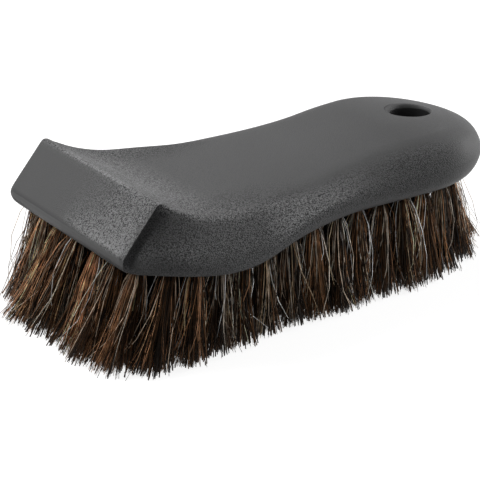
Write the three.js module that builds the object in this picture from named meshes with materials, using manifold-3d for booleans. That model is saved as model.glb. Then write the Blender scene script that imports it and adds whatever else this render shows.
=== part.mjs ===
// Leather cleaning brush: a moulded grip block with natural-hair tufts set in its underside.
// Millimetres, +Z up. X runs from the nose (-X) to the rear end with the hang hole (+X).
// The brush stands on its bristle tips at z = 0, and is the same on both sides of y = 0.

import * as THREE from 'three';
import { mergeVertices } from 'three/addons/utils/BufferGeometryUtils.js';
import Module from 'manifold-3d';

// Block, measured from the nose lip (x = 0) to the rear end.
const LENGTH = 135;
const END_START = 105;
const END_HALF_WIDTH = 30.6;
const NOSE_HALF_WIDTH = 33;
const NOSE_SETBACK = 11.2;
const NOSE_LIP = 4;
const NOSE_LIP_INSET = 2;
const NOSE_DROP = 0.7;
const NOSE_GROOVE = 1.4;
const NOSE_GROOVE_REACH = 0.9;
const CROWN = 0.8;

// How far inside the widest outline the wall meets the top face, round the rear end.
const END_INSET = 4.6;
const REAR_INSET = 0.6;

// Rounding between the wall and the top face.
const RIDGE_RADIUS = 1.5;
const CHEEK_RADIUS = 2.6;
const WAIST_RADIUS = 4.2;
const REAR_RADIUS = 6.2;

// Rounding of the lower edge: its height along the brush, and how far it turns in.
const LOWER_CHEEK_HEIGHT = 3.4;
const LOWER_WAIST_HEIGHT = 5.2;
const LOWER_REAR_HEIGHT = 7.6;
const LOWER_SIDE_INSET = 2.6;
const LOWER_REAR_INSET = 5.4;

// Levels above the bristle tips.
const TUFT_FACE_Z = 29;
const BACKING_THICKNESS = 3;
const ROOF_Z = TUFT_FACE_Z + BACKING_THICKNESS;
const LOWER_EDGE_Z = 27.6;
const CHEEK_DROP = 3.6;
const WAIST_LIFT = 1.1;

// Rim around the tufted face, beyond the rounded lower edge.
const RIM_FOOT = 0.6;
const RIM_WALL = 1;
const CHEEK_WALL = 2;
const SEAT_GAP = 0.3;

// Hang hole.
const HOLE_X = 116;
const HOLE_RADIUS = 6.1;
const HOLE_FLARE = 1.5;
const BOSS_RADIUS = 7.6;

// Tufts.
const TUFT_FIRST_X = 7.8;
const TUFT_PITCH_X = 11.7;
const TUFT_PITCH_Y = 11.6;
const TUFT_EDGE = 2.2;
const CHEEK_TUFT_GAP = 3;
const STRANDS_ROUND = 7;
const STRAND_ROOT_RADIUS = 0.65;
const STRAND_TIP_RADIUS = 0.5;
const ROOT_RING = 1.4;
const TIP_RING = 4.3;
const LEAN_FORWARD = 15;
const LEAN_BACK = 16;
const LEAN_SIDE = 2.4;
const ROOT_DEPTH = 1.2;

// Anchor staples of flat wire, one to a tuft.
const STAPLE_WIDTH = 3.4;
const STAPLE_HEIGHT = 2;
const STAPLE_WIRE = 0.6;
const STAPLE_DEPTH = 1.2;
const POCKET_GAP = 0.3;

// Mesh counts.
const SIDE_COLUMNS = 26;
const END_COLUMNS = 9;
const CROSS_COLUMNS = 8;
const LOWER_STEPS = 3;
const ROUND_STEPS = 4;
const HOLE_SIDES = 32;

const { clamp, lerp, smoothstep } = THREE.MathUtils;
const wasm = await Module();
wasm.setup();

// A smooth function through a few points, by cubic pieces with matching slopes.
function smoothThrough(points) {
  const slope = (a, b) => (b[1] - a[1]) / (b[0] - a[0]);
  const last = points.length - 1;
  const slopes = points.map((p, i) => {
    if (i === 0) return slope(points[0], points[1]);
    if (i === last) return slope(points[last - 1], points[last]);
    return slope(points[i - 1], points[i + 1]);
  });
  return (x) => {
    let i = 0;
    while (i < last - 1 && x > points[i + 1][0]) i += 1;
    const [x0, y0] = points[i];
    const [x1, y1] = points[i + 1];
    const h = x1 - x0;
    const t = (x - x0) / h;
    const rise = t * t * (3 - 2 * t);
    const leave = t * (1 - t) * (1 - t) * h * slopes[i];
    const arrive = t * t * (t - 1) * h * slopes[i + 1];
    return y0 + (y1 - y0) * rise + leave + arrive;
  };
}

// Half width of the block at its widest level: nose, cheek, waist, rear.
const planHalfWidth = smoothThrough([
  [0, NOSE_HALF_WIDTH],
  [8, 41.2],
  [18, 44],
  [36, 42.8],
  [56, 37],
  [78, 32.6],
  [END_START, END_HALF_WIDTH],
]);

// Half width at the edge where wall and top face would meet: it draws in at the grip waist.
const edgeHalfWidth = smoothThrough([
  [NOSE_SETBACK, NOSE_HALF_WIDTH - 0.2],
  [19, 34.9],
  [29, 34.4],
  [40, 32.9],
  [52, 28.4],
  [64, 25.8],
  [78, 23.1],
  [88, 22.9],
  [97, 24.6],
  [END_START, END_HALF_WIDTH - END_INSET],
]);

// Height of the top face at its edge: ridge, finger valley, palm hump, rear.
const topHeight = smoothThrough([
  [NOSE_SETBACK, 44.4],
  [20, 39.9],
  [29, 37.5],
  [40, 36.8],
  [52, 37.2],
  [66, 38.3],
  [82, 40.5],
  [98, 42.6],
  [113, 43.4],
  [LENGTH, 42],
]);

const bump = (x, centre, reach) => Math.exp(-(((x - centre) / reach) ** 2));

function lowerEdge(x) {
  const drop = CHEEK_DROP * bump(x, 32, 20) + NOSE_DROP * bump(x, 0, 7);
  return LOWER_EDGE_Z - drop + WAIST_LIFT * bump(x, 79, 20);
}

// Widest outline of one side, from the nose corner to the rear end.
function outlinePoint(x) {
  return new THREE.Vector2(x, planHalfWidth(x));
}

function endPoint(angle) {
  const x = END_START + (LENGTH - END_START) * Math.sin(angle);
  const y = planHalfWidth(END_START) * Math.cos(angle);
  return new THREE.Vector2(x, y);
}

// The columns of one side: outline point, inward direction and the corner of wall and top face.
function sideColumns() {
  const points = [];
  for (let i = 0; i <= SIDE_COLUMNS; i += 1) {
    const t = i / SIDE_COLUMNS;
    points.push(outlinePoint(END_START * (0.2 * t + 0.8 * t * t)));
  }
  for (let i = 1; i < END_COLUMNS; i += 1) {
    points.push(endPoint((i / END_COLUMNS) * (Math.PI / 2)));
  }
  points.push(new THREE.Vector2(LENGTH, 0));

  return points.map((point, i) => {
    const outline = point.clone();
    const isEnd = i === points.length - 1;
    const before = points[Math.max(i - 1, 0)];
    const after = isEnd ? new THREE.Vector2(before.x, -before.y) : points[i + 1];
    const run = after.clone().sub(before).normalize();
    const inward = new THREE.Vector2(run.y, -run.x);
    if (i === 0) inward.set(1, -1);
    const step = outline.x / NOSE_GROOVE_REACH;
    const groove = NOSE_GROOVE * step * Math.exp(1 - step);
    let corner;
    if (outline.x <= END_START) {
      const x = outline.x + NOSE_SETBACK * (1 - smoothstep(outline.x, 0, 60));
      corner = new THREE.Vector2(x, edgeHalfWidth(x) - groove);
    } else {
      const along = (outline.x - END_START) / (LENGTH - END_START);
      corner = outline.clone().addScaledVector(inward, lerp(END_INSET, REAR_INSET, along));
    }
    const nose = 1 - smoothstep(outline.x, 0, 9);
    const waist = smoothstep(outline.x, 40, 66);
    const tail = smoothstep(outline.x, 80, 118);
    const sideRadius = lerp(lerp(CHEEK_RADIUS, RIDGE_RADIUS, nose), WAIST_RADIUS, waist);
    const sideFoot = lerp(lerp(LOWER_CHEEK_HEIGHT, NOSE_LIP, nose), LOWER_WAIST_HEIGHT, waist);
    const radius = lerp(sideRadius, REAR_RADIUS, tail);
    const foot = lerp(sideFoot, LOWER_REAR_HEIGHT, tail);
    const inset = lerp(lerp(LOWER_SIDE_INSET, NOSE_LIP_INSET, nose), LOWER_REAR_INSET, tail);
    const column = { outline, inward, groove, corner, radius, foot, inset };
    column.seat = Math.max(inset + RIM_WALL, wallDepth(column, ROOF_Z) + CHEEK_WALL);
    return column;
  });
}

// How far the outside of the wall lies inside the widest outline at one height.
function wallDepth({ outline, inward, corner, foot }, z) {
  const reach = corner.clone().sub(outline).dot(inward);
  const widest = lowerEdge(outline.x) + foot;
  const rise = (z - widest) / (topHeight(corner.x) - widest);
  return reach * clamp(rise, 0, 1);
}

// One section of the block's wall, from the roof of the recess round the rim to the top edge.
function wallSection({ outline, inward, groove, corner, radius, foot, inset, seat }) {
  const low = lowerEdge(outline.x);
  const at = (depth, z) => {
    const p = outline.clone().addScaledVector(inward, depth);
    return new THREE.Vector3(p.x, p.y, z);
  };
  const rows = [at(seat, ROOF_Z), at(inset + RIM_FOOT, low + 0.7)];
  for (let i = 0; i <= LOWER_STEPS; i += 1) {
    const share = i / LOWER_STEPS;
    const turn = share * (Math.PI / 2);
    const depth = inset * (1 - Math.sin(turn)) + groove * share * share;
    rows.push(at(depth, low + foot * (1 - Math.cos(turn))));
  }
  const widest = rows[rows.length - 1];
  const bend = new THREE.Vector3(corner.x, corner.y, topHeight(corner.x));
  const across = bend.clone().sub(widest).setZ(0).normalize();
  const edge = bend.clone().addScaledVector(across, radius);
  edge.z = topHeight(edge.x);
  const start = bend.clone().lerp(widest, Math.min(radius / bend.distanceTo(widest), 0.94));
  const round = new THREE.QuadraticBezierCurve3(start, bend, edge);
  return [...rows, ...round.getPoints(ROUND_STEPS)];
}

// Adds a grid of points as triangles, turned over where asked.
function addGrid(list, rows, turned) {
  for (let i = 0; i + 1 < rows.length; i += 1) {
    for (let j = 0; j + 1 < rows[i].length; j += 1) {
      const a = rows[i][j];
      const b = rows[i + 1][j];
      const c = rows[i + 1][j + 1];
      const d = rows[i][j + 1];
      const corners = turned ? [a, c, b, a, d, c] : [a, b, c, a, c, d];
      list.push(...corners);
    }
  }
}

// Joins triangles into one closed geometry, without those that shrink to a line.
function closedGeometry(corners) {
  const soup = new THREE.BufferGeometry().setFromPoints(corners);
  const merged = mergeVertices(soup, 1e-3);
  const index = [];
  for (let i = 0; i < merged.index.count; i += 3) {
    const [a, b, c] = [0, 1, 2].map((k) => merged.index.getX(i + k));
    if (a !== b && b !== c && c !== a) index.push(a, b, c);
  }
  merged.setIndex(index);
  return merged;
}

// Between a point and its twin on the other side, with a crown in the middle.
function acrossPoints(side, crown) {
  const points = [];
  for (let k = 0; k <= CROSS_COLUMNS; k += 1) {
    const s = 1 - (2 * k) / CROSS_COLUMNS;
    points.push(new THREE.Vector3(side.x, side.y * s, side.z + crown * (1 - s * s)));
  }
  return points;
}

function crownAt(x) {
  return CROWN * smoothstep(x, NOSE_SETBACK + 3, 70);
}

const columns = sideColumns();

function blockGeometry() {
  const sections = columns.map(wallSection);
  const mirrored = sections.map((section) => section.map((p) => new THREE.Vector3(p.x, -p.y, p.z)));
  const corners = [];
  addGrid(corners, sections, true);
  addGrid(corners, mirrored, false);
  const nose = sections[0].map((p) => acrossPoints(p, 0));
  addGrid(corners, nose, true);
  const topRows = sections.map((section) => {
    const edge = section[section.length - 1];
    const fade = edge.y / NOSE_HALF_WIDTH;
    return acrossPoints(edge, crownAt(edge.x) * Math.min(1, 2 * fade));
  });
  addGrid(corners, topRows, true);
  const roofRows = sections.map((section) => acrossPoints(section[0], 0));
  addGrid(corners, roofRows, false);
  return closedGeometry(corners);
}

function toSolid(geometry) {
  const plain = new THREE.BufferGeometry();
  plain.setAttribute('position', geometry.getAttribute('position'));
  plain.setIndex(geometry.getIndex());
  const merged = mergeVertices(plain, 1e-3);
  return new wasm.Manifold(
    new wasm.Mesh({
      numProp: 3,
      vertProperties: merged.attributes.position.array,
      triVerts: new Uint32Array(merged.index.array),
    }),
  );
}

function toGeometry(solid) {
  const mesh = solid.getMesh();
  const geometry = new THREE.BufferGeometry();
  geometry.setAttribute('position', new THREE.BufferAttribute(mesh.vertProperties, 3));
  geometry.setIndex(new THREE.BufferAttribute(mesh.triVerts, 1));
  geometry.computeVertexNormals();
  return geometry;
}

function boxSolid(sx, sy, sz, x, y, z) {
  return toSolid(new THREE.BoxGeometry(sx, sy, sz).translate(x, y, z));
}

function uprightCylinder(radius, bottom, top, x) {
  const shape = new THREE.CylinderGeometry(radius, radius, top - bottom, HOLE_SIDES);
  return shape.rotateX(Math.PI / 2).translate(x, 0, (top + bottom) / 2);
}

// The hang hole with its rounded upper mouth, as a revolved cutter.
function holeCutter() {
  const mouth = topHeight(HOLE_X) + CROWN;
  const profile = [new THREE.Vector2(0, TUFT_FACE_Z - 6), new THREE.Vector2(HOLE_RADIUS, TUFT_FACE_Z - 6)];
  for (let i = 0; i <= 4; i += 1) {
    const turn = (i / 4) * (Math.PI / 2);
    const out = HOLE_FLARE * (1 - Math.cos(turn));
    profile.push(new THREE.Vector2(HOLE_RADIUS + out, mouth - HOLE_FLARE * (1 - Math.sin(turn))));
  }
  profile.push(new THREE.Vector2(HOLE_RADIUS + HOLE_FLARE, mouth + 6));
  profile.push(new THREE.Vector2(0, mouth + 6));
  return new THREE.LatheGeometry(profile, HOLE_SIDES).rotateX(Math.PI / 2).translate(HOLE_X, 0, 0);
}

// Tuft centres in rows across the brush, spread from rim to rim and clear of the hang hole.
function tuftCentres() {
  const centres = [];
  const lastRow = Math.floor((LENGTH - TUFT_FIRST_X - 6) / TUFT_PITCH_X);
  for (let row = 0; row <= lastRow; row += 1) {
    const x = TUFT_FIRST_X + row * TUFT_PITCH_X;
    const half = halfWidthAt(tuftLine, x);
    const gaps = Math.max(1, Math.floor((2 * half) / TUFT_PITCH_Y));
    for (let k = 0; k <= gaps; k += 1) {
      const centre = new THREE.Vector2(x, half * ((2 * k) / gaps - 1));
      const fromHole = Math.hypot(x - HOLE_X, centre.y);
      if (fromHole > BOSS_RADIUS + SEAT_GAP + TUFT_EDGE) centres.push(centre);
    }
  }
  return centres;
}

// One side of an outline that follows the rim wall, as far inside it as the function says.
function insideRim(distanceAt) {
  const side = columns.map(({ outline, inward, seat }) =>
    outline.clone().addScaledVector(inward, seat + distanceAt(outline.x)),
  );
  side[side.length - 1].y = 0;
  return side;
}

function halfWidthAt(side, x) {
  const i = side.findIndex((p) => p.x >= x);
  if (i < 1) return 0;
  const t = (x - side[i - 1].x) / (side[i].x - side[i - 1].x);
  return lerp(side[i - 1].y, side[i].y, t);
}

function bothSides(side) {
  const other = side.slice(0, -1).reverse().map((p) => new THREE.Vector2(p.x, -p.y));
  return new THREE.Shape([...side, ...other]);
}

const faceEdge = insideRim(() => SEAT_GAP);
const tuftLine = insideRim((x) => SEAT_GAP + TUFT_EDGE + CHEEK_TUFT_GAP * bump(x, 48, 14));

// One leaning three-sided strand, cut flat at the tip.
function strand(root, tip, turn) {
  const height = TUFT_FACE_Z + ROOT_DEPTH;
  const shape = new THREE.CylinderGeometry(STRAND_ROOT_RADIUS, STRAND_TIP_RADIUS, height, 3);
  shape.rotateX(Math.PI / 2).rotateZ(turn).translate(0, 0, height / 2);
  const leanX = (root.x - tip.x) / height;
  const leanY = (root.y - tip.y) / height;
  shape.applyMatrix4(new THREE.Matrix4().set(1, 0, leanX, 0, 0, 1, leanY, 0, 0, 0, 1, 0, 0, 0, 0, 1));
  return shape.translate(tip.x, tip.y, 0);
}

// Tufts lean away from the middle of the brush: most at the nose and the rear, a little at the cheeks.
function tuftLean(centre) {
  const sideways = centre.y / halfWidthAt(tuftLine, centre.x);
  const lengthways = (2 * centre.x) / LENGTH - 1;
  const reach = lengthways < 0 ? LEAN_FORWARD : LEAN_BACK;
  return new THREE.Vector2(
    reach * lengthways * Math.abs(lengthways) ** 1.5 * (1 - 0.4 * sideways * sideways),
    LEAN_SIDE * sideways * (0.5 - lengthways / 2),
  );
}

// A tuft fans out from its hole.
function tuftStrands(centre, number) {
  const lean = tuftLean(centre);
  const strands = [strand(centre, centre.clone().add(lean), number)];
  for (let k = 0; k < STRANDS_ROUND; k += 1) {
    const turn = ((k + (number % 3) / 3) / STRANDS_ROUND) * 2 * Math.PI;
    const ray = new THREE.Vector2(Math.cos(turn), Math.sin(turn));
    const root = centre.clone().addScaledVector(ray, ROOT_RING);
    const tip = centre.clone().add(lean).addScaledVector(ray, TIP_RING);
    strands.push(strand(root, tip, turn));
  }
  return strands;
}

// A staple bent from flat wire: a crown over the folded hair and two legs up into the block.
function stapleGeometry() {
  const half = STAPLE_WIDTH / 2;
  const shape = new THREE.Shape();
  shape.moveTo(-half, 0);
  shape.lineTo(half, 0);
  shape.lineTo(half, STAPLE_HEIGHT);
  shape.lineTo(half - STAPLE_WIRE, STAPLE_HEIGHT);
  shape.lineTo(half - STAPLE_WIRE, STAPLE_WIRE);
  shape.lineTo(STAPLE_WIRE - half, STAPLE_WIRE);
  shape.lineTo(STAPLE_WIRE - half, STAPLE_HEIGHT);
  shape.lineTo(-half, STAPLE_HEIGHT);
  shape.closePath();
  const flat = new THREE.ExtrudeGeometry(shape, { depth: STAPLE_DEPTH, bevelEnabled: false });
  return flat.translate(0, 0, -STAPLE_DEPTH / 2).rotateX(Math.PI / 2);
}

const brush = new THREE.Group();
brush.name = 'leather_brush';
const body = new THREE.Group();
brush.add(body);

const charcoal = new THREE.MeshStandardMaterial({ color: 0x3f4042, roughness: 0.62, metalness: 0 });
const steel = new THREE.MeshStandardMaterial({ color: 0xb4b6b8, roughness: 0.35, metalness: 1 });
const hairColours = { nose: 0x4a3a2e, front: 0x33261d, middle: 0x2b211a, rear: 0x30251d };

const tufts = tuftCentres();

let block = toSolid(blockGeometry());
block = block.add(toSolid(uprightCylinder(BOSS_RADIUS, TUFT_FACE_Z, ROOF_Z + 2, HOLE_X)));
block = block.subtract(toSolid(holeCutter()));
const pocketWidth = STAPLE_WIDTH + 2 * POCKET_GAP;
const pocketDepth = STAPLE_DEPTH + 2 * POCKET_GAP;
const pocketHeight = STAPLE_HEIGHT + POCKET_GAP;
for (const { x, y } of tufts) {
  const z = ROOF_Z - 1 + (pocketHeight + 1) / 2;
  block = block.subtract(boxSolid(pocketWidth, pocketDepth, pocketHeight + 1, x, y, z));
}
const handle = new THREE.Mesh(toGeometry(block), charcoal);
handle.name = 'handle_block';
body.add(handle);

// The tufted face in four zones along the brush, each with its hair.
const backing = { depth: BACKING_THICKNESS, bevelEnabled: false };
const face = new THREE.ExtrudeGeometry(bothSides(faceEdge), backing);
const wholeFace = toSolid(face.translate(0, 0, TUFT_FACE_Z));
const bossSpace = toSolid(uprightCylinder(BOSS_RADIUS + SEAT_GAP, TUFT_FACE_Z - 1, ROOF_Z + 1, HOLE_X));
const tuftedFace = wholeFace.subtract(bossSpace);
const zoneEnds = [0, 1.5, 4.5, 7.5, 20].map((count) => TUFT_FIRST_X + count * TUFT_PITCH_X);
zoneEnds[0] = 0;
Object.entries(hairColours).forEach(([zone, colour], z) => {
  const from = zoneEnds[z] + SEAT_GAP / 2;
  const to = zoneEnds[z + 1] - SEAT_GAP / 2;
  const slab = boxSolid(to - from, 200, 20, (from + to) / 2, 0, TUFT_FACE_Z);
  const slice = tuftedFace.intersect(slab);
  const strands = [];
  tufts.forEach((centre, number) => {
    if (centre.x > from && centre.x < to) strands.push(...tuftStrands(centre, number).map(toSolid));
  });
  const hair = new THREE.MeshStandardMaterial({ color: colour, roughness: 0.8, metalness: 0 });
  const mesh = new THREE.Mesh(toGeometry(wasm.Manifold.union([slice, ...strands])), hair);
  mesh.name = `bristles_${zone}`;
  body.add(mesh);
});

tufts.forEach(({ x, y }, number) => {
  const staple = new THREE.Mesh(stapleGeometry(), steel.clone());
  staple.name = `staple_${String(number + 1).padStart(2, '0')}`;
  staple.position.set(x, y, ROOF_Z);
  body.add(staple);
});

// The origin is under the middle of the whole brush, bristles included.
const extent = new THREE.Box3().setFromObject(body);
body.position.x = -(extent.min.x + extent.max.x) / 2;

export default brush;
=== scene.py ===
"""Leather cleaning brush: moulded grip block, natural-hair tufts and the wire staples that hold them."""

import math

import bmesh
import bpy
import numpy as np
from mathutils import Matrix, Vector


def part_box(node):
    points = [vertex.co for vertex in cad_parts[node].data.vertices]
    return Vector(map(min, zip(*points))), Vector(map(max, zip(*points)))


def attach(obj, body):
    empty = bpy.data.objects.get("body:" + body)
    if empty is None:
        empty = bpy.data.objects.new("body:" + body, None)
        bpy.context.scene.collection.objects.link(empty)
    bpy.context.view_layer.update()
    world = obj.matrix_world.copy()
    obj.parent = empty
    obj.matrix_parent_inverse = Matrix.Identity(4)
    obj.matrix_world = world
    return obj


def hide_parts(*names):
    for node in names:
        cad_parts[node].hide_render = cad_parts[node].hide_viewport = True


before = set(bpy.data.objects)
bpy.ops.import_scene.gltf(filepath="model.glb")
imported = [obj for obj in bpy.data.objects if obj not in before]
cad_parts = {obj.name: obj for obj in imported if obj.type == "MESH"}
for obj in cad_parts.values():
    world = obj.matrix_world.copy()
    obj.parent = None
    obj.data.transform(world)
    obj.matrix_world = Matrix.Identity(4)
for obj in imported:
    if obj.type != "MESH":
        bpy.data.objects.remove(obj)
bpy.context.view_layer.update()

MM = 0.001
rng = np.random.default_rng(41)

# Nose lip in the brush's own frame: the block's shape is measured from it, in millimetres.
NOSE_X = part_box("handle_block")[0].x

# Plan of the block
LENGTH = 135.0
END_START = 105.0
END_HALF_WIDTH = 30.6
END_INSET = 4.6
REAR_INSET = 0.6
NOSE_HALF_WIDTH = 33.4
NOSE_SETBACK = 11.2
SETBACK_END = 60.0

# Nose plate and the crease beside it
NOSE_LIP = 4.0
NOSE_LIP_INSET = 2.0
NOSE_END = 9.0
NOSE_GROOVE = 1.9
NOSE_GROOVE_REACH = 0.9
CORNER_SPREAD = 0.4
CORNER_SPREAD_REACH = 1.5

# Upper edge and crown
RIDGE_RADIUS = 1.5
CHEEK_RADIUS = 2.6
WAIST_RADIUS = 4.2
REAR_RADIUS = 6.2
LARGEST_FILLET = 0.94
CROWN = 0.8
CROWN_START = NOSE_SETBACK + 3
CROWN_FULL = 70.0

# Where the section changes from cheek to waist, and from waist to tail
WAIST_START = 40.0
WAIST_FULL = 66.0
TAIL_START = 80.0
TAIL_FULL = 118.0

# Lower rim and tufted face
LOWER_CHEEK_HEIGHT = 3.4
LOWER_WAIST_HEIGHT = 5.2
LOWER_REAR_HEIGHT = 7.6
LOWER_SIDE_INSET = 2.6
LOWER_REAR_INSET = 5.4
FACE_Z = 29.0
LOWER_EDGE_Z = 27.6
CHEEK_DROP = 3.6
CHEEK_X = 32.0
CHEEK_REACH = 20.0
NOSE_DROP = 0.7
NOSE_REACH = 7.0
WAIST_LIFT = 1.1
WAIST_X = 79.0
WAIST_REACH = 20.0
RIM_FOOT = 0.6
RIM_FOOT_RISE = 0.7
FACE_CLEARANCE = 0.1
RIM_WALL = 1.0
CHEEK_WALL = 2.0
ROOF_Z = 32.0

# Hang hole
HOLE_X = 116.0
HOLE_RADIUS = 6.1
HOLE_FLARE = 1.5
MOUTH_DROP = 0.1
MOUTH_SPARE = 0.4

# Tufts
TUFT_FIRST_X = 6.8
NOSE_ROW_END = TUFT_FIRST_X + 1
NOSE_TUFT_PITCH = 11.0
NOSE_CORNER_GAP = 8.5
RIM_TUFT_PITCH = 8.6
INNER_TUFT_PITCH = 9.0
INNER_ROW_INSET = 0.9 * INNER_TUFT_PITCH
NARROWEST_ROW = 2.0
ROW_END_GAP = 1.0
LEAST_TUFT_GAP = 6.0
HOLE_TUFT_GAP = 3.6
TUFT_RIM_GAP = 3.0
CHEEK_TUFT_GAP = 3.0
CHEEK_TUFT_X = 48.0
CHEEK_TUFT_REACH = 14.0
TUFT_HOLE_RADIUS = 1.9
TUFT_HOLE_DEPTH = 2.0

# Steps of the block's mesh
CORNER_COLUMNS = 24
CORNER_RUN = 6.0
SIDE_COLUMNS = 92
END_COLUMNS = 41
LOWER_STEPS = 8
WALL_STEPS = 12
FILLET_STEPS = 9
EDGE_PLACES = (0, 0.25, 0.5, 0.8, 1.2, 1.8)
INNER_EDGE = 2.6
INNER_COUNT = 45
MERGE_STEPS = 2000
FLARE_STEPS = 8
HANG_HOLE_SIDES = 96
TUFT_HOLE_SIDES = 14
CUT_MARGIN = 6.0
BLIND_CUT_MARGIN = 2.0
SHARP_ANGLE = 38.0

# Easing of the kinks along a section, from its first wall row, and of the nose plate's two edges
FIRST_SOFT_ROW = 2
SOFTEN_ROUNDS = 10
SOFTEN_PULL = 0.5
SOFTEN_START = 1.5
PLATE_REGION_X = 15.0
PLATE_EDGE_Y = 32.0
PLATE_EDGE_BAND = 4.0
PLATE_EDGE_REACH = 1.3
PLATE_EDGE_ROUNDS = 4
PLATE_EDGE_PULL = 0.5


def smoothstep(value, start, end):
    t = min(max((value - start) / (end - start), 0.0), 1.0)
    return t * t * (3 - 2 * t)


def lerp(a, b, t):
    return a + (b - a) * t


def bump(x, centre, reach):
    return math.exp(-(((x - centre) / reach) ** 2))


def smooth_through(points):
    """A smooth function through a few points, by cubic pieces with matching slopes."""
    xs = [p[0] for p in points]
    ys = [p[1] for p in points]
    last = len(points) - 1

    def slope(i, j):
        return (ys[j] - ys[i]) / (xs[j] - xs[i])

    slopes = [slope(max(i - 1, 0), min(i + 1, last)) for i in range(last + 1)]

    def value(x):
        i = 0
        while i < last - 1 and x > xs[i + 1]:
            i += 1
        h = xs[i + 1] - xs[i]
        t = (x - xs[i]) / h
        rise = t * t * (3 - 2 * t)
        leave = t * (1 - t) * (1 - t) * h * slopes[i]
        arrive = t * t * (t - 1) * h * slopes[i + 1]
        return ys[i] + (ys[i + 1] - ys[i]) * rise + leave + arrive

    return value


plan_half_width = smooth_through([
    (0, NOSE_HALF_WIDTH), (8, 41.2), (18, 44), (36, 42.8), (56, 37), (78, 32.6),
    (END_START, END_HALF_WIDTH),
])
corner_half_width = smooth_through([
    (NOSE_SETBACK, NOSE_HALF_WIDTH - 0.2), (19, 34.9), (29, 34.4), (40, 32.9), (52, 28.4),
    (64, 25.8), (78, 23.1), (88, 22.9), (97, 24.6), (END_START, END_HALF_WIDTH - END_INSET),
])
top_height = smooth_through([
    (NOSE_SETBACK, 44.4), (20, 39.9), (29, 37.5), (40, 36.8), (52, 37.2),
    (66, 38.3), (82, 40.5), (98, 42.6), (113, 43.4), (LENGTH, 42.0),
])


def lower_edge(x):
    cheek = CHEEK_DROP * bump(x, CHEEK_X, CHEEK_REACH)
    nose = NOSE_DROP * bump(x, 0, NOSE_REACH)
    waist = WAIST_LIFT * bump(x, WAIST_X, WAIST_REACH)
    return LOWER_EDGE_Z - cheek - nose + waist


def crown_at(x):
    return CROWN * smoothstep(x, CROWN_START, CROWN_FULL)


def plan_points():
    """The plan of one side, from the nose corner to the rear end, with closer points at the corner."""
    xs = list(np.linspace(0, CORNER_RUN, CORNER_COLUMNS + 1)[:-1])
    xs += list(np.linspace(CORNER_RUN, END_START, SIDE_COLUMNS))
    points = [(x, plan_half_width(x)) for x in xs]
    half = plan_half_width(END_START)
    for i in range(1, END_COLUMNS):
        angle = i / END_COLUMNS * math.pi / 2
        x = END_START + (LENGTH - END_START) * math.sin(angle)
        points.append((x, half * math.cos(angle)))
    points.append((LENGTH, 0.0))
    return points


def seat_depth(column):
    """Where the tufted face meets the rim, clear of the cheek's sloping wall."""
    reach = (column["corner"] - column["outline"]).dot(column["inward"])
    widest = lower_edge(column["outline"].x) + column["foot"]
    shoulder = top_height(column["corner"].x)
    rise = min(max((ROOF_Z - widest) / (shoulder - widest), 0.0), 1.0)
    return max(column["inset"] + RIM_WALL, reach * rise + CHEEK_WALL)


def side_columns():
    """The sizes of the wall's section at each point of the plan."""
    points = plan_points()
    made = []
    for i, (x, y) in enumerate(points):
        is_end = i == len(points) - 1
        before = points[max(i - 1, 0)]
        after = (before[0], -before[1]) if is_end else points[i + 1]
        run = Vector((after[0] - before[0], after[1] - before[1])).normalized()
        inward = Vector((run.y, -run.x)) * (1 + CORNER_SPREAD * math.exp(-x / CORNER_SPREAD_REACH))
        outline = Vector((x, y))
        step = x / NOSE_GROOVE_REACH
        groove = NOSE_GROOVE * step * math.exp(1 - step)
        if x <= END_START:
            corner_x = x + NOSE_SETBACK * (1 - smoothstep(x, 0, SETBACK_END))
            corner = Vector((corner_x, corner_half_width(corner_x) - groove))
        else:
            along_end = (x - END_START) / (LENGTH - END_START)
            corner = outline + inward * lerp(END_INSET, REAR_INSET, along_end)
        nose = 1 - smoothstep(x, 0, NOSE_END)
        waist = smoothstep(x, WAIST_START, WAIST_FULL)
        tail = smoothstep(x, TAIL_START, TAIL_FULL)
        side_radius = lerp(lerp(CHEEK_RADIUS, RIDGE_RADIUS, nose), WAIST_RADIUS, waist)
        side_foot = lerp(lerp(LOWER_CHEEK_HEIGHT, NOSE_LIP, nose), LOWER_WAIST_HEIGHT, waist)
        column = {
            "outline": outline,
            "inward": inward,
            "groove": groove,
            "corner": corner,
            "radius": lerp(side_radius, REAR_RADIUS, tail),
            "foot": lerp(side_foot, LOWER_REAR_HEIGHT, tail),
            "inset": lerp(lerp(LOWER_SIDE_INSET, NOSE_LIP_INSET, nose), LOWER_REAR_INSET, tail),
            "is_end": is_end,
        }
        column["seat"] = seat_depth(column)
        made.append(column)
    return made


columns = side_columns()


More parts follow.
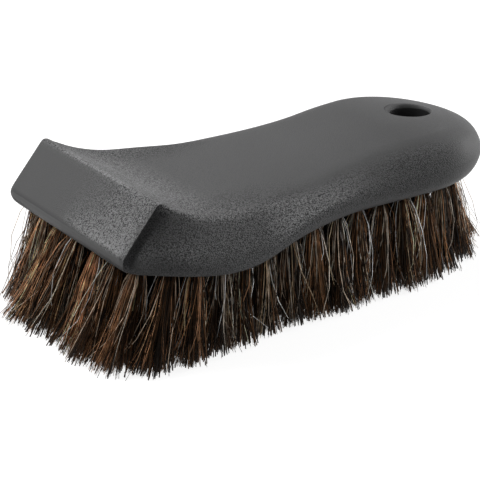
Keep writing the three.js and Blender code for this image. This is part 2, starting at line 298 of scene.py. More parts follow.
def wall_section(column):
    """One section of the wall, from the tufted face round the rim to the edge of the top."""
    outline, inward, corner = column["outline"], column["inward"], column["corner"]
    groove = column["groove"]
    low = lower_edge(outline.x)

    def at(depth, z):
        p = outline + inward * depth
        return Vector((p.x, p.y, z))

    foot_z = min(low + RIM_FOOT_RISE, FACE_Z - FACE_CLEARANCE)
    rows = [at(column["seat"], FACE_Z), at(column["inset"] + RIM_FOOT, foot_z)]
    for i in range(LOWER_STEPS):
        turn = i / LOWER_STEPS * math.pi / 2
        depth = column["inset"] * (1 - math.sin(turn)) + groove * (i / LOWER_STEPS) ** 2
        rows.append(at(depth, low + column["foot"] * (1 - math.cos(turn))))
    widest = at(groove, low + column["foot"])
    bend = Vector((corner.x, corner.y, top_height(corner.x)))
    across = (corner - widest.xy).normalized()
    if column["is_end"]:
        across = Vector((-1, 0))
    edge = corner + across * column["radius"]
    if column["is_end"]:
        edge.y = 0.0
    edge = Vector((edge.x, edge.y, top_height(edge.x)))
    wall = bend - widest
    share = 1 - min(column["radius"] / wall.length, LARGEST_FILLET)
    start = widest + wall * share
    for i in range(WALL_STEPS):
        rows.append(widest + (start - widest) * i / WALL_STEPS)
    for i in range(FILLET_STEPS + 1):
        t = i / FILLET_STEPS
        rows.append(start * (1 - t) ** 2 + bend * (2 * t * (1 - t)) + edge * t * t)
    return rows


def soften(sections):
    """Eases the kinks along each section, less at the nose plate."""
    grid = np.array([[tuple(p) for p in section] for section in sections])
    first = FIRST_SOFT_ROW
    weight = [SOFTEN_PULL * smoothstep(c["outline"].x, SOFTEN_START, NOSE_END) for c in columns]
    weight = np.array(weight)[:, None, None]
    for _ in range(SOFTEN_ROUNDS):
        inner = grid[:, first + 1:-1]
        average = (grid[:, first:-2] + grid[:, first + 2:]) / 2
        grid[:, first + 1:-1] = inner + (average - inner) * weight
    return [[Vector(p) for p in section] for section in grid]


def across_shares():
    """Places across the block from 1 to -1, closer together at both edges."""
    edge = [1 - d / NOSE_HALF_WIDTH for d in EDGE_PLACES]
    inner_edge = INNER_EDGE / NOSE_HALF_WIDTH
    inner = list(np.linspace(1 - inner_edge, -1 + inner_edge, INNER_COUNT))
    return edge + inner + [-s for s in reversed(edge)]


def across_points(side, crown):
    return [Vector((side.x, side.y * s, side.z + crown * (1 - s * s))) for s in across_shares()]


class MeshMaker:
    """Collects grids of points and joins those that meet."""

    def __init__(self):
        self.points = []
        self.faces = []
        self.known = {}

    def vertex(self, p):
        key = (round(p.x * MERGE_STEPS), round(p.y * MERGE_STEPS), round(p.z * MERGE_STEPS))
        if key not in self.known:
            self.known[key] = len(self.points)
            self.points.append(((p.x * MM) + NOSE_X, p.y * MM, p.z * MM))
        return self.known[key]

    def grid(self, rows, turned):
        ids = [[self.vertex(p) for p in row] for row in rows]
        for a, b in zip(ids, ids[1:]):
            for j in range(len(a) - 1):
                face = [a[j], b[j], b[j + 1], a[j + 1]]
                face = [v for n, v in enumerate(face) if v != face[n - 1]]
                if len(set(face)) > 2:
                    self.faces.append(face[::-1] if turned else face)

    def mesh(self, name):
        mesh = bpy.data.meshes.new(name)
        mesh.from_pydata(self.points, [], self.faces)
        mesh.validate()
        return mesh


def add_object(name, data):
    obj = bpy.data.objects.new(name, data)
    bpy.context.scene.collection.objects.link(obj)
    return obj


def round_plate_edges(mesh, section):
    """Takes the sharpness off the two edges of the nose plate."""
    bm = bmesh.new()
    bm.from_mesh(mesh)
    edge = [Vector((p.x * MM + NOSE_X, p.y * MM, p.z * MM)) for p in section]

    def distance(co):
        point = Vector((co.x, abs(co.y), co.z))
        return min((point - p).length for p in edge)

    def is_near(co):
        if co.x >= NOSE_X + PLATE_REGION_X * MM:
            return False
        if abs(abs(co.y) - PLATE_EDGE_Y * MM) >= PLATE_EDGE_BAND * MM:
            return False
        return distance(co) < PLATE_EDGE_REACH * MM

    near = [v for v in bm.verts if is_near(v.co)]
    every_way = {"use_axis_x": True, "use_axis_y": True, "use_axis_z": True}
    for _ in range(PLATE_EDGE_ROUNDS):
        bmesh.ops.smooth_vert(bm, verts=near, factor=PLATE_EDGE_PULL, **every_way)
    bm.to_mesh(mesh)
    bm.free()


def block_mesh():
    sections = soften([wall_section(c) for c in columns])
    mirrored = [[Vector((p.x, -p.y, p.z)) for p in section] for section in sections]
    maker = MeshMaker()
    maker.grid(sections, True)
    maker.grid(mirrored, False)
    maker.grid([across_points(p, 0) for p in sections[0]], True)
    top_rows = []
    for section in sections:
        edge = section[-1]
        fade_out = min(1.0, 2 * edge.y / NOSE_HALF_WIDTH)
        top_rows.append(across_points(edge, crown_at(edge.x) * fade_out))
    maker.grid(top_rows, True)
    maker.grid([across_points(section[0], 0) for section in sections], False)
    mesh = maker.mesh("grip_block")
    round_plate_edges(mesh, sections[0])
    return mesh


# Places of the tufts

def tuft_gap(x):
    return TUFT_RIM_GAP + CHEEK_TUFT_GAP * bump(x, CHEEK_TUFT_X, CHEEK_TUFT_REACH)


def inside_rim(distance):
    side = [c["outline"] + c["inward"] * (c["seat"] + distance(c["outline"].x)) for c in columns]
    side[-1].y = 0.0
    return side


tuft_line = inside_rim(tuft_gap)


def half_width_at(side, x):
    for a, b in zip(side, side[1:]):
        if b.x >= x > a.x:
            return lerp(a.y, b.y, (x - a.x) / (b.x - a.x))
    return 0.0


def along_line(points, spacing):
    """Points along a line at about the spacing, the line's start left out."""
    lengths = [(b - a).length for a, b in zip(points, points[1:])]
    total = sum(lengths)
    count = round(total / spacing)
    places = []
    for k in range(1, count + 1):
        rest = total * k / count
        i = 0
        while i < len(lengths) - 1 and rest > lengths[i]:
            rest -= lengths[i]
            i += 1
        places.append(points[i].lerp(points[i + 1], min(rest / lengths[i], 1.0)))
    return places


def spread_over(half, pitch):
    gaps = max(1, round(2 * half / pitch))
    return [half * (2 * k / gaps - 1) for k in range(gaps + 1)]


def tuft_centres():
    """Centres of the tufts with their row from the rim: along the rim first, then in rows inside it."""
    nose_half = half_width_at(tuft_line, TUFT_FIRST_X) - NOSE_CORNER_GAP
    centres = [(TUFT_FIRST_X, y, 0) for y in spread_over(nose_half, NOSE_TUFT_PITCH)]
    corner = Vector((TUFT_FIRST_X, nose_half))
    side = [corner] + [p for p in tuft_line if p.x > NOSE_ROW_END]
    rim = along_line(side, RIM_TUFT_PITCH)
    centres += [(p.x, p.y, 0) for p in rim]
    centres += [(p.x, -p.y, 0) for p in rim[:-1]]
    rear = tuft_line[-1].x
    rows = round((rear - TUFT_FIRST_X) / INNER_TUFT_PITCH)
    for row in range(1, rows):
        x = lerp(TUFT_FIRST_X, rear, row / rows)
        half = half_width_at(tuft_line, x) - INNER_ROW_INSET
        if half < NARROWEST_ROW:
            continue
        for y in spread_over(half, INNER_TUFT_PITCH):
            second = row in (1, rows - 1) or half - abs(y) < ROW_END_GAP
            gap = min(math.hypot(x - a, y - b) for a, b, _ in centres)
            if gap > LEAST_TUFT_GAP and math.hypot(x - HOLE_X, y) > HOLE_RADIUS + HOLE_TUFT_GAP:
                centres.append((x, y, 1 if second else 2))
    return centres


tufts = tuft_centres()


# Holes in the block

def add_turned(bm, profile, x, y, sides):
    """Adds a closed turned shape with an upright axis to the mesh."""
    rings = []
    for radius, z in profile:
        ring = []
        for k in range(sides):
            a = 2 * math.pi * k / sides
            place_x = NOSE_X + (x + radius * math.cos(a)) * MM
            place_y = (y + radius * math.sin(a)) * MM
            ring.append(bm.verts.new((place_x, place_y, z * MM)))
        rings.append(ring)
    for low, high in zip(rings, rings[1:]):
        for k in range(sides):
            bm.faces.new([low[k], low[k - sides + 1], high[k - sides + 1], high[k]])
    bm.faces.new(rings[0][::-1])
    bm.faces.new(rings[-1])


def hang_hole_profile():
    mouth = top_height(HOLE_X) + CROWN - MOUTH_DROP
    profile = [(HOLE_RADIUS, FACE_Z - CUT_MARGIN)]
    for i in range(FLARE_STEPS + 1):
        turn = i / FLARE_STEPS * math.pi / 2
        radius = HOLE_RADIUS + HOLE_FLARE * (1 - math.cos(turn))
        profile.append((radius, mouth - HOLE_FLARE * (1 - math.sin(turn))))
    profile.append((HOLE_RADIUS + HOLE_FLARE + MOUTH_SPARE, mouth + CUT_MARGIN))
    return profile


def cutter_mesh():
    """The hang hole with its flared mouth, and the blind holes that the tufts sit in."""
    bm = bmesh.new()
    add_turned(bm, hang_hole_profile(), HOLE_X, 0, HANG_HOLE_SIDES)
    ends = (FACE_Z - BLIND_CUT_MARGIN, FACE_Z + TUFT_HOLE_DEPTH)
    blind_hole = [(TUFT_HOLE_RADIUS, z) for z in ends]
    for x, y, _ in tufts:
        add_turned(bm, blind_hole, x, y, TUFT_HOLE_SIDES)
    mesh = bpy.data.meshes.new("cutter")
    bm.to_mesh(mesh)
    bm.free()
    return mesh


def cut_block():
    obj = add_object("grip_block", block_mesh())
    cutter = add_object("cutter", cutter_mesh())
    cut = obj.modifiers.new("holes", "BOOLEAN")
    cut.operation = "DIFFERENCE"
    cut.solver = "EXACT"
    cut.object = cutter
    depsgraph = bpy.context.evaluated_depsgraph_get()
    mesh = bpy.data.meshes.new_from_object(obj.evaluated_get(depsgraph))
    obj.modifiers.clear()
    obj.data = mesh
    mesh.name = "grip_block"
    bpy.data.objects.remove(cutter)
    mesh.shade_smooth()
    mesh.set_sharp_from_angle(angle=math.radians(SHARP_ANGLE))
    return obj


# Finish of the block: grain, paler places (partly wear, partly painted highlight) and painted shade, as
# values at its points.
# A range of two values gives where a mark starts and where it is full: in millimetres, or as a part of the
# way that a point faces (upward, sideways, or forward to the nose).

PLATE_FOOT_Z = 30.6
PLATE_HEIGHT = 13.8
PLATE_FORWARD = (0.45, 0.6)
PLATE_SIDEWAYS = (0.4, 0.2)
PLATE_X = (13, 11)
PLATE_SKIN = (2.4, 1.6)
ABOVE_RIM = (1.2, 3.7)
TOP_UPWARD = (0.6, 0.9)

LEAST_GRAIN = 0.12
FLANK_UPWARD = (0.97, 0.77)
FLANK_X = (120, 98)
BESIDE_PLATE_X = (1.5, 3.5)
CHEEK_TOP_Y = (12, 28)
CHEEK_TOP_X = (70, 46)
GRAINED_RIM_X = (70, 50)
PLATE_GRAIN = 0.5
LEAST_PLATE_GRAIN = 0.05
PLATE_GRAIN_Y = (16, -16)
PLATE_GRAIN_Z = (30.5, 32.5)

# Paler places: the plate's foot and near side, a band along the top's side edges and the valley; the waist
# facets, partly wear and partly painted light; and a painted highlight on the ridge's crest and on the top
# behind the ridge.
PLATE_RISE_Z = (31, 44)
PLATE_FOOT_PALENESS = 0.95
PLATE_FOOT_PALENESS_Y = (4, -18)
PLATE_NEAR_PALENESS = 0.35
PLATE_NEAR_PALENESS_Y = (-10, -24)
PLATE_MIDDLE_PALENESS = 0.15
PLATE_MIDDLE_PALENESS_Y = (4, -14)
PLATE_PALENESS_Z = (30.5, 31.5)
BEHIND_RIDGE_X = (36, 18)
BEHIND_RIDGE_Y = (20, -10)
FAR_RIDGE_HIGHLIGHT = 0.8
CREST_X = 12.2
CREST_REACH = 1.2
CREST_Z = (41, 43)
CHEEK_EDGE_PALENESS = 0.45
CHEEK_EDGE_Y = (20, 30)
CHEEK_EDGE_X = (56, 30)
TOP_PALENESS = 0.8
VALLEY_PALENESS = 0.08
VALLEY_X = (52, 28)
GRIP_WEAR_AND_LIGHT = 0.5
GRIP_START_X = (40, 50)
GRIP_END_X = (84, 62)
FACET_LOW_UPWARD = (0.4, 0.6)
FACET_HIGH_UPWARD = (0.97, 0.88)

# Painted shade in the hang hole, the crease beside the plate, the lip, faces turned down, the front facets
# and foot, the rear flanks and the plate's near edge; painted light on the top of the rear end.
HOLE_SHADE_GAP = 0.4
HOLE_SHADE_DROP = 0.6
CREASE_Y = (NOSE_HALF_WIDTH - 6, NOSE_HALF_WIDTH - 4)
CREASE_SKIN = (5.5, 0.5)
CREASE_Z = (43.5, 41)
NEAR_CREASE_SHADE = 0.64
FAR_CREASE_SHADE = 0.4
LIP_SHADE = 0.8
LIP_FORWARD = (0.5, 0.8)
LIP_Z = (31.2, 30.4)
LIP_X = (5, 3)
UNDER_SHADE = 0.5
UNDER_UPWARD = (0.15, -0.45)
UNDER_X = (45, 80)
FRONT_SHADE = 0.3
FRONT_FACET_FORWARD = (0.15, 0.5)
FRONT_FACET_SIDEWAYS = (0.1, 0.35)
FRONT_FACET_X = (14, 9)
FRONT_FOOT_X = (11, 8)
FRONT_FOOT_Y = (32, 34)
FRONT_FOOT_Z = (35, 33)
REAR_FLANK_SHADE = 0.2
REAR_FLANK_X = (72, 84)
REAR_FLANK_UPWARD = (0.95, 0.8)
REAR_FLANK_BACKWARD = (0.5, 0.2)
REAR_FLANK_Z = (40, 36)
PLATE_EDGE_SHADE = 0.45
PLATE_EDGE_SHADE_Y = (-29.4, -32.4)
REAR_TOP_LIGHT = 1.1
REAR_TOP_X = (100, 128)


def fade(value, limits):
    start, end = limits
    return np.clip((value - start) / (end - start), 0, 1)


class Surface:
    """Places of the block's points in millimetres from the nose lip, and the way that they face."""

    def __init__(self, mesh):
        count = len(mesh.vertices)
        position = np.zeros(count * 3)
        mesh.vertices.foreach_get("co", position)
        normal = np.zeros(count * 3)
        mesh.vertices.foreach_get("normal", normal)
        self.x = (position[0::3] - NOSE_X) / MM
        self.y = position[1::3] / MM
        self.z = position[2::3] / MM
        self.from_middle = np.abs(self.y)
        self.from_plate = self.x - NOSE_SETBACK * (self.z - PLATE_FOOT_Z) / PLATE_HEIGHT
        self.forward = -normal[0::3]
        self.sideways = np.abs(normal[1::3])
        self.upward = normal[2::3]
        self.on_top = fade(self.upward, TOP_UPWARD)
        rim = np.array([lower_edge(x) for x in self.x])
        self.above_rim = fade(self.z - rim, ABOVE_RIM)
        facing = fade(self.forward, PLATE_FORWARD) * fade(self.x, PLATE_X)
        plate = facing * fade(self.sideways, PLATE_SIDEWAYS)
        self.plate = plate * fade(self.from_plate, PLATE_SKIN)
        self.off_plate = 1 - self.plate

    def grain(self):
        """How strong the moulded grain is."""
        flank = fade(self.upward, FLANK_UPWARD) * fade(self.x, FLANK_X)
        cheek_top = fade(self.from_middle, CHEEK_TOP_Y) * fade(self.x, CHEEK_TOP_X)
        grain = np.maximum(flank * fade(self.x, BESIDE_PLATE_X), cheek_top)
        grain = np.maximum(grain, LEAST_GRAIN)
        grain = grain * np.maximum(self.above_rim, fade(self.x, GRAINED_RIM_X))
        on_plate = np.maximum(PLATE_GRAIN * fade(self.y, PLATE_GRAIN_Y), LEAST_PLATE_GRAIN)
        return grain * self.off_plate + on_plate * self.plate * fade(self.z, PLATE_GRAIN_Z)

    def wear_and_highlight(self):
        """How much paler it is made: partly wear, partly painted light on the waist facets, and a painted
        highlight along the ridge and the top behind it.
        """
        # Paler towards the plate's foot, its near side and its middle.
        low = (1 - fade(self.z, PLATE_RISE_Z)) ** 2
        paler_plate = PLATE_FOOT_PALENESS * fade(self.y, PLATE_FOOT_PALENESS_Y) * low
        paler_plate = paler_plate + PLATE_NEAR_PALENESS * fade(self.y, PLATE_NEAR_PALENESS_Y)
        paler_plate = paler_plate + PLATE_MIDDLE_PALENESS * fade(self.y, PLATE_MIDDLE_PALENESS_Y)
        # Painted highlight on the top behind the ridge, stronger on the near side, and a paler band along
        # the top's side edges.
        nearness = fade(self.y, BEHIND_RIDGE_Y)
        behind_ridge = fade(self.x, BEHIND_RIDGE_X) * lerp(FAR_RIDGE_HIGHLIGHT, 1, nearness)
        cheek_edge = fade(self.from_middle, CHEEK_EDGE_Y) * fade(self.x, CHEEK_EDGE_X) * CHEEK_EDGE_PALENESS
        top = np.maximum(behind_ridge, cheek_edge) * self.on_top * TOP_PALENESS
        # Painted highlight along the ridge's crest.
        crest = np.exp(-(((self.x - CREST_X) / CREST_REACH) ** 2)) * fade(self.z, CREST_Z)
        # Waist facets: partly wear from the grip, partly painted light on faces turned up.
        facet = fade(self.upward, FACET_LOW_UPWARD) * fade(self.upward, FACET_HIGH_UPWARD)
        grip_wear_and_light = fade(self.x, GRIP_START_X) * fade(self.x, GRIP_END_X) * facet
        # A slightly paler valley on the top.
        valley = fade(self.x, VALLEY_X) * self.on_top
        wear_and_highlight = paler_plate * self.plate * fade(self.z, PLATE_PALENESS_Z)
        wear_and_highlight = wear_and_highlight + np.maximum(top * self.off_plate, crest)
        wear_and_highlight = wear_and_highlight + GRIP_WEAR_AND_LIGHT * grip_wear_and_light + VALLEY_PALENESS * valley * self.off_plate
        return wear_and_highlight * self.above_rim

    def painted_shade_and_light(self):
        """Painted shade: how much darker the colour is made where shade falls, below 0 where painted light
        makes it paler.
        """
        # Painted shade inside the hang hole, below its mouth.
        in_hole = np.hypot(self.x - HOLE_X, self.y) < HOLE_RADIUS + HOLE_SHADE_GAP
        below_mouth = self.z < top_height(HOLE_X) - HOLE_SHADE_DROP
        hole = np.where(in_hole & below_mouth, 1.0, 0.0)
        # Painted shadow in the crease beside the nose plate, darker on the near side.
        beside_plate = self.off_plate * fade(self.from_middle, CREASE_Y)
        crease = beside_plate * fade(self.from_plate, CREASE_SKIN) * fade(self.z, CREASE_Z)
        crease = crease * np.where(self.y < 0, NEAR_CREASE_SHADE, FAR_CREASE_SHADE)
        # Painted shade on the lip under the nose plate.
        lip = fade(self.forward, LIP_FORWARD) * fade(self.z, LIP_Z) * fade(self.x, LIP_X)
        # Painted shade on faces turned down, from the waist to the rear.
        under = fade(self.upward, UNDER_UPWARD) * fade(self.x, UNDER_X)
        # Painted shade on the cheek's front facet and foot beside the nose plate, which face the left lamp.
        front_facet = fade(self.forward, FRONT_FACET_FORWARD) * fade(self.x, FRONT_FACET_X)
        front_facet = front_facet * fade(self.sideways, FRONT_FACET_SIDEWAYS)
        front_foot = fade(self.x, FRONT_FOOT_X) * fade(self.from_middle, FRONT_FOOT_Y)
        front_foot = front_foot * fade(self.z, FRONT_FOOT_Z)
        front = np.maximum(front_facet, front_foot) * self.off_plate
        # Painted shade on the rear flanks, which face the right lamp.
        rear_flank = fade(self.x, REAR_FLANK_X) * fade(self.upward, REAR_FLANK_UPWARD)
        rear_flank = rear_flank * fade(-self.forward, REAR_FLANK_BACKWARD) * fade(self.z, REAR_FLANK_Z)
        # Painted shade along the nose plate's near edge.
        plate_edge = self.plate * fade(self.y, PLATE_EDGE_SHADE_Y)
        darkest = np.maximum.reduce([
            hole,
            crease,
            LIP_SHADE * lip,
            UNDER_SHADE * under,
            FRONT_SHADE * front,
            REAR_FLANK_SHADE * rear_flank,
            PLATE_EDGE_SHADE * plate_edge,
        ])
        # Painted light on the top of the rear end, which makes it paler.
        rear_top = fade(self.x, REAR_TOP_X) * self.on_top
        return darkest - REAR_TOP_LIGHT * rear_top * self.above_rim


def set_float_attribute(mesh, name, values):
    attribute = mesh.attributes.new(name, "FLOAT", "POINT")
    attribute.data.foreach_set("value", values.astype(np.float32))


block = cut_block()
surface = Surface(block.data)
set_float_attribute(block.data, "grain", surface.grain())
set_float_attribute(block.data, "wear_and_highlight", surface.wear_and_highlight())
set_float_attribute(block.data, "painted_shade_and_light", surface.painted_shade_and_light())


# Hair

# Rings along a hair, sides round it, and locks in a tuft that cling together.
HAIR_RINGS = 5
HAIR_SIDES = 3
LOCKS = 14

# Thick dark hairs in the heart of a tuft and fine hairs round it, for tufts at the rim and further in.
HAIR_COUNTS = ((85, 330), (120, 70), (80, 10))
CORE_RADII = (0.14, 0.24)
FINE_RADII = (0.06, 0.1)
PALE_THICKER = 1.2

# Hair colours from near black to white, as linear values, and the share of each in the four zones.
HAIR_COLOURS = np.array([
    (0.0085, 0.0042, 0.0018),
    (0.060, 0.030, 0.0135),
    (0.23, 0.118, 0.058),
    (0.50, 0.262, 0.145),
    (0.66, 0.345, 0.190),
    (0.46, 0.35, 0.23),
    (0.60, 0.475, 0.365),
    (0.84, 0.73, 0.61),
])
CHESTNUT = 2
TAN = 6
WHITE = 7
HAIR_SHARES = {
    "nose": (0.23, 0.20, 0.20, 0.19, 0.14, 0.0, 0.03, 0.01),
    "front": (0.46, 0.28, 0.06, 0.02, 0.01, 0.05, 0.07, 0.05),
    "middle": (0.45, 0.27, 0.12, 0.02, 0.01, 0.04, 0.05, 0.04),
    "rear": (0.30, 0.25, 0.16, 0.05, 0.03, 0.07, 0.08, 0.06),
}
ZONE_ENDS = {"nose": 25.3, "front": 60.5, "middle": 95.5, "rear": LENGTH}

# How far a tuft's shares, a lock's tone and a hair's tone stray from the plain ones.
SHARE_SPREAD = 0.6
SHARE_LIMITS = (0.2, 3)
LOCK_TONE_SPREAD = 0.55
LOCK_TONE_LIMITS = (0.3, 2.5)
HAIR_TONES = (0.6, 1.4)
PALEST = 0.95

# Painted shade on the hair at the near nose corner under the cheek, and a paler mix at the far nose corner
# and under the waist: centre and reach, in millimetres from the nose lip.
PLAIN_PALENESS = 1.4
SHADED_PLACE = ((18, -34), (18, 16))
SHADED_PLACE_LOSS = 1.05
LIGHT_NOSE = ((6, 26), (14, 14))
LIGHT_WAIST = ((48, -36), (10, 12))
LIGHT_WAIST_SHARE = 2.2
LIGHT_GAIN = 0.7

# Lean of the tufts: forward at the nose, back at the rear, and less where the outer tufts turn out.
LEAN_FORWARD = 15.5
LEAN_FORWARD_POWER = 1.5
LEAST_LEAN = 0.2
FAR_TURN_OUT = 1.6
NEAR_TURN_OUT = 0.4
LEAN_BACK = 15.0
LEAN_BACK_POWER = 2.5
BACK_TURN_OUT = 0.55
LEAN_SIDE = 2.4
MIDDLE_SIDE_LEAN = 0.3
SIDE_LEAN_FALL = 0.7
LEAN_JITTER = 0.7
LEAST_HALF_WIDTH = 8.0

# Spread of the hairs in a tuft
TUFT_FAN = 5.5
CORE_FAN = 1.14
FINE_FAN = 1.2
NOSE_FAN = 1.3
FINE_START = 0.3
LOCK_PULL = 0.6
ROOT_LOCK_PULL = 0.6
ROOT_RADIUS = TUFT_HOLE_RADIUS - 1.0
ROOT_Z = FACE_Z + TUFT_HOLE_DEPTH * 0.8
CORE_JITTER = 0.3
FINE_JITTER = 0.85

# Uneven tips, short hairs, bends and stray hairs
TIP_JITTER = 0.55
CORE_TIP_Z = 0.3
FINE_TIP_Z = 0.12
SHORT_SHARE = 0.1
SHORT_LOSS = 7
SWAY = 0.5
BEND_PLACE = 0.42
BEND_PULL = 0.26
BEND_JITTER = 1.9
BEND_HEIGHTS = (0.42, 0.64)
STRAY_SHARES = (0.16, 0.05, 0.0)
STRAY_BEND = 7
STRAY_TIP = 3.5
STRAY_LIFT = 4
STRAY_PALE_SHARE = 0.25
WAVE = 0.22
KINK = 0.08
TIP_TAPER = 0.15
LOWEST_POINT = 0.02

# Painted shade along a hair's length, for tufts at the rim and further in: inner tufts are painted near
# black from the root, where shade falls deep in the brush, up to where the clear tip starts.
LENGTH_LIGHT = (1.0, 0.06, 0.05)
TIP_START = 0.6

# A direction that no hair follows, to set its sides by, and the shape of its strip on the surface map.
SIDE_GUIDE = np.array([0.31, 0.95, 0.05])
STRIP_LENGTH_RATIO = 6
STRIP_SIDE_GAP = 0.15
STRIP_END_GAP = 0.06


def zone_of(x):
    return next(zone for zone, end in ZONE_ENDS.items() if x < end)


def spot(x, y, place):
    centre, reach = place
    return math.exp(-(((x - centre[0]) / reach[0]) ** 2) - ((y - centre[1]) / reach[1]) ** 2)


def paleness(x, y):
    """Share of the paler colours: cut at the near nose corner as painted shade under the cheek, raised at
    the far one and under the waist.
    """
    shaded = spot(x, y, SHADED_PLACE)
    light = spot(x, y, LIGHT_NOSE) + LIGHT_WAIST_SHARE * spot(x, y, LIGHT_WAIST)
    return PLAIN_PALENESS - SHADED_PLACE_LOSS * shaded + LIGHT_GAIN * light


def tuft_lean(x, y):
    sideways = y / max(half_width_at(tuft_line, x), LEAST_HALF_WIDTH)
    lengthways = 2 * x / LENGTH - 1
    if lengthways < 0:
        turned_out = FAR_TURN_OUT * sideways ** 4 if y > 0 else NEAR_TURN_OUT * sideways ** 2
        upright = max(1 - turned_out, LEAST_LEAN)
        forward = -LEAN_FORWARD * abs(lengthways) ** LEAN_FORWARD_POWER * upright
    else:
        forward = LEAN_BACK * lengthways ** LEAN_BACK_POWER * (1 - BACK_TURN_OUT * sideways ** 2)
    outward = LEAN_SIDE * sideways * (MIDDLE_SIDE_LEAN - SIDE_LEAN_FALL * lengthways)
    return np.array([forward, outward])


def in_circle(angle, distance):
    return np.stack([np.cos(angle), np.sin(angle)], 1) * distance[:, None]


def hair_paths(x, y, rank, is_core):
    """Root, bend and tip of each hair in one tuft, with its lock and whether it strays, in millimetres."""
    number = len(is_core)
    centre = np.array([x, y])
    lean = tuft_lean(x, y) + rng.normal(0, LEAN_JITTER, 2)
    distance = np.sqrt(rng.random(number))
    distance = np.where(is_core, distance, FINE_START + (1 - FINE_START) * distance)
    own = in_circle(rng.random(number) * 2 * math.pi, distance)
    lock = rng.integers(0, LOCKS, number)
    lock_angle = rng.random(LOCKS) * 2 * math.pi
    shared = in_circle(lock_angle, np.sqrt(rng.random(LOCKS)))
    together = np.where(is_core, 0.0, LOCK_PULL)[:, None]
    place = own * (1 - together) + shared[lock] * together
    root = centre + (ROOT_LOCK_PULL * place + (1 - ROOT_LOCK_PULL) * own) * ROOT_RADIUS
    fan = place * TUFT_FAN * np.where(is_core, CORE_FAN, FINE_FAN)[:, None]
    if x < NOSE_ROW_END:
        fan[:, 1] *= NOSE_FAN
    jitter = np.where(is_core, CORE_JITTER, FINE_JITTER)[:, None]
    tip = centre + lean + fan + rng.normal(0, 1, (number, 2)) * jitter
    tip_z = np.abs(rng.normal(0, TIP_JITTER, number)) + np.where(is_core, CORE_TIP_Z, FINE_TIP_Z)
    short = (rng.random(number) < SHORT_SHARE) & ~is_core
    tip_z[short] += rng.random(short.sum()) * SHORT_LOSS
    lost = (tip_z / FACE_Z)[:, None]
    tip = tip * (1 - lost) + root * lost
    sway = rng.normal(0, SWAY, 2)
    bend_jitter = rng.normal(0, BEND_JITTER, (number, 2)) * jitter
    bend = root + (tip - root) * BEND_PLACE - fan * BEND_PULL + sway + bend_jitter
    bend_z = FACE_Z * rng.uniform(*BEND_HEIGHTS, number)
    stray = (rng.random(number) < STRAY_SHARES[rank]) & ~is_core
    bend[stray] += rng.uniform(-STRAY_BEND, STRAY_BEND, (stray.sum(), 2))
    tip[stray] += rng.uniform(-STRAY_TIP, STRAY_TIP, (stray.sum(), 2))
    tip_z[stray] += rng.random(stray.sum()) * STRAY_LIFT
    root_z = np.full(number, ROOT_Z)
    path = [np.column_stack(ends) for ends in ((root, root_z), (bend, bend_z), (tip, tip_z))]
    return path, lock, stray


def hair_tones(x, y, is_core, lock, stray):
    """Colour of each hair in one tuft, and which of the plain colours it comes from."""
    number = len(is_core)
    share_change = np.clip(rng.lognormal(0, SHARE_SPREAD, len(HAIR_COLOURS)), *SHARE_LIMITS)
    shares = np.array(HAIR_SHARES[zone_of(x)]) * share_change
    shares[CHESTNUT:] *= paleness(x, y)
    pick = rng.choice(len(HAIR_COLOURS), number, p=shares / shares.sum())
    stray_pick = TAN if zone_of(x) == "nose" else WHITE
    pick = np.where(stray & (rng.random(number) < STRAY_PALE_SHARE), stray_pick, pick)
    # Core hairs take only the two darkest colours: partly the tuft's own dark heart, partly painted shade
    # deep in the tuft.
    pick = np.where(is_core, pick >= CHESTNUT, pick)
    lock_tone = np.clip(rng.lognormal(0, LOCK_TONE_SPREAD, LOCKS), *LOCK_TONE_LIMITS)
    colour = HAIR_COLOURS[pick] * rng.uniform(*HAIR_TONES, (number, 1)) * lock_tone[lock][:, None]
    return np.minimum(colour, PALEST), pick


def tuft_hairs(x, y, rank):
    """Path, radius, colour and painted shade of the hairs in one tuft."""
    core, fine = HAIR_COUNTS[rank]
    number = core + fine
    is_core = np.arange(number) < core
    path, lock, stray = hair_paths(x, y, rank, is_core)
    colour, pick = hair_tones(x, y, is_core, lock, stray)
    core_radius = rng.uniform(*CORE_RADII, number)
    fine_radius = rng.uniform(*FINE_RADII, number)
    radius = np.where(is_core, core_radius, fine_radius)
    radius[~is_core & (pick >= TAN)] *= PALE_THICKER
    light = np.full(number, LENGTH_LIGHT[rank])
    return *path, radius, colour, light


def hair_points(root, bend, tip, radius, t):
    """Points on the rings of every hair, in millimetres."""
    number = len(root)
    weights = ((1 - t) ** 2, 2 * t * (1 - t), t * t)
    path = sum(w[None, :, None] * p[:, None, :] for w, p in zip(weights, (root, bend, tip)))
    wave = rng.normal(0, WAVE, (number, 1, 2)) * np.sin(2 * math.pi * t)[None, :, None]
    wave += rng.normal(0, KINK, (number, HAIR_RINGS, 2)) * (t * (1 - t) * 4)[None, :, None]
    path[:, :, :2] += wave
    along = tip - root
    along /= np.linalg.norm(along, axis=1, keepdims=True)
    side = np.cross(along, SIDE_GUIDE)
    side /= np.linalg.norm(side, axis=1, keepdims=True)
    other = np.cross(along, side)
    thick = radius[:, None] * (1.0 - TIP_TAPER * t[None, :] ** 2)
    rings = []
    for k in range(HAIR_SIDES):
        a = 2 * math.pi * k / HAIR_SIDES
        ray = side * math.cos(a) + other * math.sin(a)
        rings.append(path + ray[:, None, :] * thick[:, :, None])
    points = np.stack(rings, 2)
    points[:, :, :, 2] = np.maximum(points[:, :, :, 2], LOWEST_POINT)
    return points.reshape(-1, 3)


